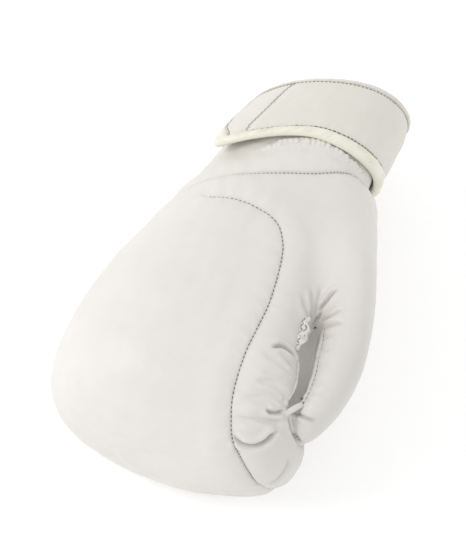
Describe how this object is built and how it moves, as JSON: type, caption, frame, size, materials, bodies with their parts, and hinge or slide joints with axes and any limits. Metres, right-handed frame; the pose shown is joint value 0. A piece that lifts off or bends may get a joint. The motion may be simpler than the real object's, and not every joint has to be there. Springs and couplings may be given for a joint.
{
  "type": "boxing glove",
  "caption": "Right-hand padded training boxing glove of smooth white leather panels, with attached thumb, grip bar, lined hand space and a wrap-round hook-and-loop wrist strap.",
  "frame": {"origin": "centre of the bounding box's bottom face, on the plane the glove lies on", "axes": "+Z thumb side up, -Y towards the knuckles, +Y towards the wrist opening, +X palm side, -X back of the hand"},
  "size_m": [0.1626, 0.2658, 0.1312],
  "materials": {
    "back_panel": "smooth leather, semi-matt",
    "index_side_panel": "smooth leather, semi-matt",
    "palm_panel": "smooth leather, semi-matt",
    "finger_curl_panel": "smooth leather, semi-matt",
    "ulnar_side_panel": "smooth leather, semi-matt",
    "wrist_panel": "smooth leather, semi-matt",
    "knuckle_foam_outer": "closed-cell foam, matt",
    "knuckle_foam_inner": "closed-cell foam, matt",
    "lining_back": "woven lining cloth",
    "lining_index_side": "woven lining cloth",
    "lining_palm": "woven lining cloth",
    "lining_little_side": "woven lining cloth",
    "thumb_outer_panel": "smooth leather, semi-matt",
    "thumb_inner_panel": "smooth leather, semi-matt",
    "thumb_foam": "closed-cell foam, matt",
    "thumb_lining_outer": "woven lining cloth",
    "thumb_lining_inner": "woven lining cloth",
    "thumb_lock_strip": "smooth leather, semi-matt",
    "grip_bar_core": "closed-cell foam, matt",
    "grip_bar_sleeve": "smooth leather, semi-matt",
    "cuff_shell": "smooth leather, semi-matt",
    "cuff_foam": "closed-cell foam, matt",
    "cuff_lining": "woven lining cloth",
    "cuff_edge_binding": "soft folded binding",
    "cuff_gusset": "smooth leather, semi-matt",
    "loop_patch": "hook-and-loop tape",
    "strap_anchor": "smooth leather, semi-matt",
    "strap_anchor_stitches": "sewing thread",
    "strap_base_leather": "smooth leather, semi-matt",
    "strap_base_foam": "closed-cell foam, matt",
    "strap_base_lining": "woven lining cloth",
    "strap_base_binding": "soft folded binding",
    "strap_base_edge": "soft folded binding",
    "strap_wrap_leather": "smooth leather, semi-matt",
    "strap_wrap_foam": "closed-cell foam, matt",
    "strap_wrap_lining": "woven lining cloth",
    "strap_wrap_binding": "soft folded binding",
    "strap_wrap_edge": "soft folded binding",
    "strap_tab_leather": "smooth leather, semi-matt",
    "strap_tab_foam": "closed-cell foam, matt",
    "strap_hook_patch": "hook-and-loop tape",
    "strap_tab_binding": "soft folded binding",
    "strap_tab_edge": "soft folded binding"
  },
  "bodies": {
    "glove": {"back_panel": "back_panel", "index_side_panel": "index_side_panel", "palm_panel": "palm_panel", "finger_curl_panel": "finger_curl_panel", "ulnar_side_panel": "ulnar_side_panel", "wrist_panel": "wrist_panel", "knuckle_foam_outer": "knuckle_foam_outer", "knuckle_foam_inner": "knuckle_foam_inner", "lining_back": "lining_back", "lining_index_side": "lining_index_side", "lining_palm": "lining_palm", "lining_little_side": "lining_little_side", "thumb_outer_panel": "thumb_outer_panel", "thumb_inner_panel": "thumb_inner_panel", "thumb_foam": "thumb_foam", "thumb_lining_outer": "thumb_lining_outer", "thumb_lining_inner": "thumb_lining_inner", "thumb_lock_strip": "thumb_lock_strip", "grip_bar_core": "grip_bar_core", "grip_bar_sleeve": "grip_bar_sleeve", "cuff_shell": "cuff_shell", "cuff_foam": "cuff_foam", "cuff_lining": "cuff_lining", "cuff_edge_binding": "cuff_edge_binding", "cuff_gusset": "cuff_gusset", "loop_patch": "loop_patch", "strap_anchor": "strap_anchor", "strap_anchor_stitches": "strap_anchor_stitches"},
    "strap_base": {"strap_base_leather": "strap_base_leather", "strap_base_foam": "strap_base_foam", "strap_base_lining": "strap_base_lining", "strap_base_binding": "strap_base_binding", "strap_base_edge": "strap_base_edge"},
    "strap_wrap": {"strap_wrap_leather": "strap_wrap_leather", "strap_wrap_foam": "strap_wrap_foam", "strap_wrap_lining": "strap_wrap_lining", "strap_wrap_binding": "strap_wrap_binding", "strap_wrap_edge": "strap_wrap_edge"},
    "strap_tab": {"strap_tab_leather": "strap_tab_leather", "strap_tab_foam": "strap_tab_foam", "strap_hook_patch": "strap_hook_patch", "strap_tab_binding": "strap_tab_binding", "strap_tab_edge": "strap_tab_edge"}
  },
  "joints": [
    {"name": "strap_root_hinge", "type": "hinge", "parent": "glove", "child": "strap_base", "pos_m": [0.06859, 0.1031, 0.0427], "axis": [0.1553, 0.9872, 0.0374], "range_deg": [0, 80]},
    {"name": "strap_wrap_hinge", "type": "hinge", "parent": "strap_base", "child": "strap_wrap", "pos_m": [0.06266, 0.10258, 0.09169], "axis": [0.1694, 0.9835, -0.0636], "range_deg": [0, 48]},
    {"name": "strap_tab_hinge", "type": "hinge", "parent": "strap_wrap", "child": "strap_tab", "pos_m": [0.01382, 0.09831, 0.11369], "axis": [0.2999, 0.9462, -0.1215], "range_deg": [0, 90]}
  ],
  "couplings": [
    {"joint": "strap_wrap_hinge", "follows": "strap_root_hinge", "ratio": 0.6}
  ]
}
